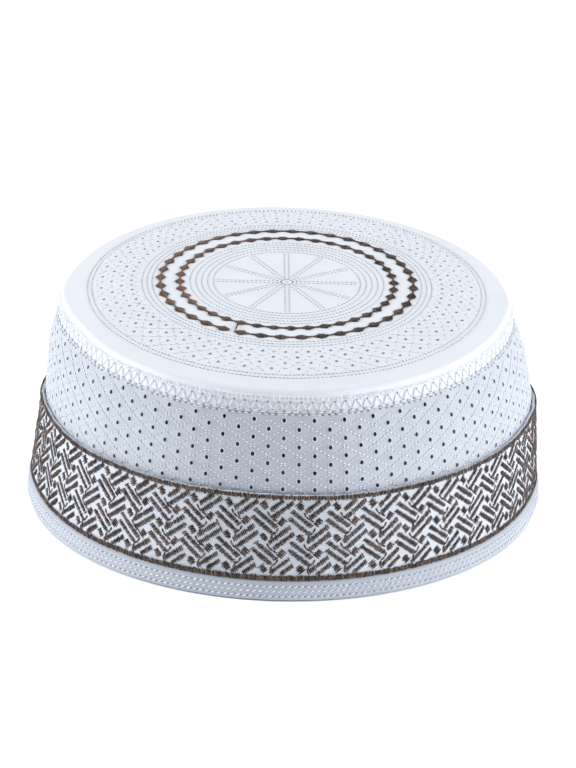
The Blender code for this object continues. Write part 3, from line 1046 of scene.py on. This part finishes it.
# %% Crown eyelets and their lattice
CROWN_EYELETS = 44
EYELET_RINGS_MM = (56.0, 59.6, 63.2, 66.8)
eyelet_turn, eyelet_radius = [], []
gap = (EYELET_RINGS_MM[1] - EYELET_RINGS_MM[0]) * MM
for row, ring_mm in enumerate(EYELET_RINGS_MM):
    turn = (np.arange(CROWN_EYELETS) + 0.5 * (row % 2)) / CROWN_EYELETS
    radius = np.full(CROWN_EYELETS, ring_mm * MM)
    eyelet_turn.append(turn)
    eyelet_radius.append(radius)
    spot = np.stack([turn, radius], axis=1)
    for side in (-1, 1):
        beside = spot + (side * 0.5 / CROWN_EYELETS, 0.0)
        lines = [stitch_line(crown_place, beside, spot + (0, gap), 2)]
        if row == 0:
            lines.append(stitch_line(crown_place, beside, spot - (0, gap), 2))
        for line in lines:
            crown_starts.append(line[0])
            crown_ends.append(line[1])
starts = np.concatenate(crown_starts)
ends = np.concatenate(crown_ends)
upward = np.tile([0.0, 0.0, 1.0], (len(starts), 1))
threads("crown_stitches", starts, ends, upward, 0.42 * MM, 0.30 * MM, white_floss, bow=0.08 * MM,
        slot="crown_cotton")
eyelet_turn, eyelet_radius = np.concatenate(eyelet_turn), np.concatenate(eyelet_radius)
here, right, up, out = local_frame(crown_place, eyelet_turn, eyelet_radius, 1e-4)
crown_rims = rims("crown_eyelet_rims", here - out * 0.02 * MM, right, up, -out, crown_cotton)
# The crown's eyelets are not cut through: a disc of painted shadow stands for each hole.
hole_shadows("crown_eyelet_hole_shadows", here, right, up, -out, 0.56 * MM)
axis_x, axis_y, axis_z = (np.tile(axis, (len(starts), 1)) for axis in np.eye(3))
pins = starts - (ends - starts) * 0.4
# A disc of painted shadow marks each needle hole of the crown.
hole_shadows("crown_needle_hole_shadows", pins, axis_x, axis_y, axis_z, 0.29 * MM, lift=0.07 * MM)

# %% [markdown]
# ## Rings of diamonds
# Two rings of brown diamonds circle the crown. They are satin stitch too: the threads run across the
# ring, long in the middle of each diamond and short at its tips. The floss is painted lighter towards the
# left, a painted sheen of the light from that side. The outer ring has one small gap near the front, where a
# thread jumps to the inner ring.

# %% Diamond rings
DIAMONDS = 40
DIAMOND_WIDTH = 3.9 * MM
TIP_WIDTH = 0.7 * MM
LEFT_PAINTED_SHEEN = 0.55
GAP_TURN = -24.6 / 360


def ring_radius(node):
    """Middle radius of a raised ring, from its solid."""
    points, _ = points_of(node)
    radii = np.hypot(points[:, 0], points[:, 1])
    return float(radii.min() + radii.max()) / 2


def diamond_ring(name, node, phase, skip=None):
    """Threads across a ring, with lengths that follow the diamonds."""
    radius = ring_radius(node)
    count = int(2 * math.pi * radius / (0.40 * MM))
    turn = (np.arange(count) + rng.normal(0, 0.1, count)) / count
    place_in = np.abs(((turn * DIAMONDS + phase) % 1.0) - 0.5) * 2
    width = TIP_WIDTH + (DIAMOND_WIDTH - TIP_WIDTH) * np.clip(1.6 * (0.78 - place_in), 0, 1)
    width = width * (1 + rng.normal(0, 0.08, count))
    if skip is not None:
        keep = np.abs((turn - skip + 0.5) % 1.0 - 0.5) * 2 * math.pi * radius > 1.1 * MM
        turn, width = turn[keep], width[keep]
    starts = crown_place(turn, radius - width / 2, 0.12 * MM)
    ends = crown_place(turn + rng.normal(0, 0.2, len(turn)) / count, radius + width / 2, 0.12 * MM)
    # Painted sheen: the left half of each ring is painted lighter.
    left_sheen_paint = LEFT_PAINTED_SHEEN * np.clip(-np.sin(2 * math.pi * turn), 0, 1)
    tone = rng.beta(1.2, 2.6, len(turn)) + left_sheen_paint
    upward = np.tile([0.0, 0.0, 1.0], (len(turn), 1))
    made = threads(name, starts, ends, upward, 0.50 * MM, 0.36 * MM, brown_floss, bow=0.28 * MM, tone=tone)
    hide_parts(node)
    return radius


inner_radius = diamond_ring("inner_diamonds", "crown_ring_inner", 0.2)
outer_radius = diamond_ring("outer_diamonds", "crown_ring_outer", 0.73, GAP_TURN)
jump_from = crown_place(np.array([GAP_TURN + 1.1 / 360]), outer_radius - 0.9 * MM, 0.15 * MM)
jump_to = crown_place(np.array([GAP_TURN - 0.3 / 360]), inner_radius + 0.8 * MM, 0.15 * MM)
threads("jump_thread", jump_from, jump_to, [[0, 0, 1]], 0.60 * MM, 0.40 * MM, brown_floss,
        bow=0.5 * MM, tone=0.0)
print("diamond rings at", round(inner_radius / MM, 1), "and", round(outer_radius / MM, 1), "mm")

# %% [markdown]
# ## Floor and light
# The photograph has a plain white background, so the floor is a wide pale sheet. Two soft boxes light the
# cap from the left and the right, a weak one from above, and a pale sky fills the rest. Studio paper that is
# lit from behind glows a little, which keeps it white, but not under the cap, so the eyelets stay dark.

# %% Floor
FLOOR_GLOW = 0.34
FLOOR_SHADE = 0.093
floor_material, floor_tree, floor_shader = new_material("paper_floor", {"Roughness": 0.95})
floor_shader.inputs["Base Color"].default_value = srgb("#f7f8fa")
floor_shader.inputs["Emission Color"].default_value = srgb("#ffffff")
floor_place = add(floor_tree, "ShaderNodeTexCoord").outputs["Object"]
floor_reach = add(floor_tree, "ShaderNodeVectorMath", {0: floor_place}, operation="LENGTH").outputs["Value"]
floor_open = add(floor_tree, "ShaderNodeMath", {0: floor_reach, 1: FLOOR_SHADE}, operation="GREATER_THAN")
floor_glow = add(floor_tree, "ShaderNodeMath", {0: floor_open.outputs["Value"], 1: FLOOR_GLOW},
                 operation="MULTIPLY")
floor_tree.links.new(floor_glow.outputs["Value"], floor_shader.inputs["Emission Strength"])
FLOOR_HALF = 6.0
floor_mesh = bpy.data.meshes.new("floor")
corners = [(-FLOOR_HALF, -FLOOR_HALF, 0), (FLOOR_HALF, -FLOOR_HALF, 0), (FLOOR_HALF, FLOOR_HALF, 0),
           (-FLOOR_HALF, FLOOR_HALF, 0)]
floor_mesh.from_pydata(corners, [], [(0, 1, 2, 3)])
floor_mesh.materials.append(floor_material)
floor = bpy.data.objects.new("floor", floor_mesh)
bpy.context.scene.collection.objects.link(floor)

# %% Lights
def soft_box(name, place, size, power):
    """Square area light that faces the cap."""
    data = bpy.data.lights.new(name, "AREA")
    data.size = size
    data.energy = power
    lamp = bpy.data.objects.new(name, data)
    lamp.location = place
    lamp.rotation_euler = (Vector((0, 0, 0.04)) - Vector(place)).to_track_quat("-Z", "Y").to_euler()
    bpy.context.scene.collection.objects.link(lamp)
    return lamp


soft_box("left_box", (-1.6, 0.1, 0.7), 0.7, 24.0)
soft_box("right_box", (1.6, -0.2, 0.7), 0.7, 24.0)
soft_box("top_box", (0.0, 0.6, 1.8), 1.0, 3.0)
world = bpy.data.worlds.new("studio")
world.use_nodes = True
world.node_tree.nodes["Background"].inputs["Color"].default_value = srgb("#eef2f8")
world.node_tree.nodes["Background"].inputs["Strength"].default_value = 0.40
bpy.context.scene.world = world
bpy.context.scene.view_settings.view_transform = "Standard"
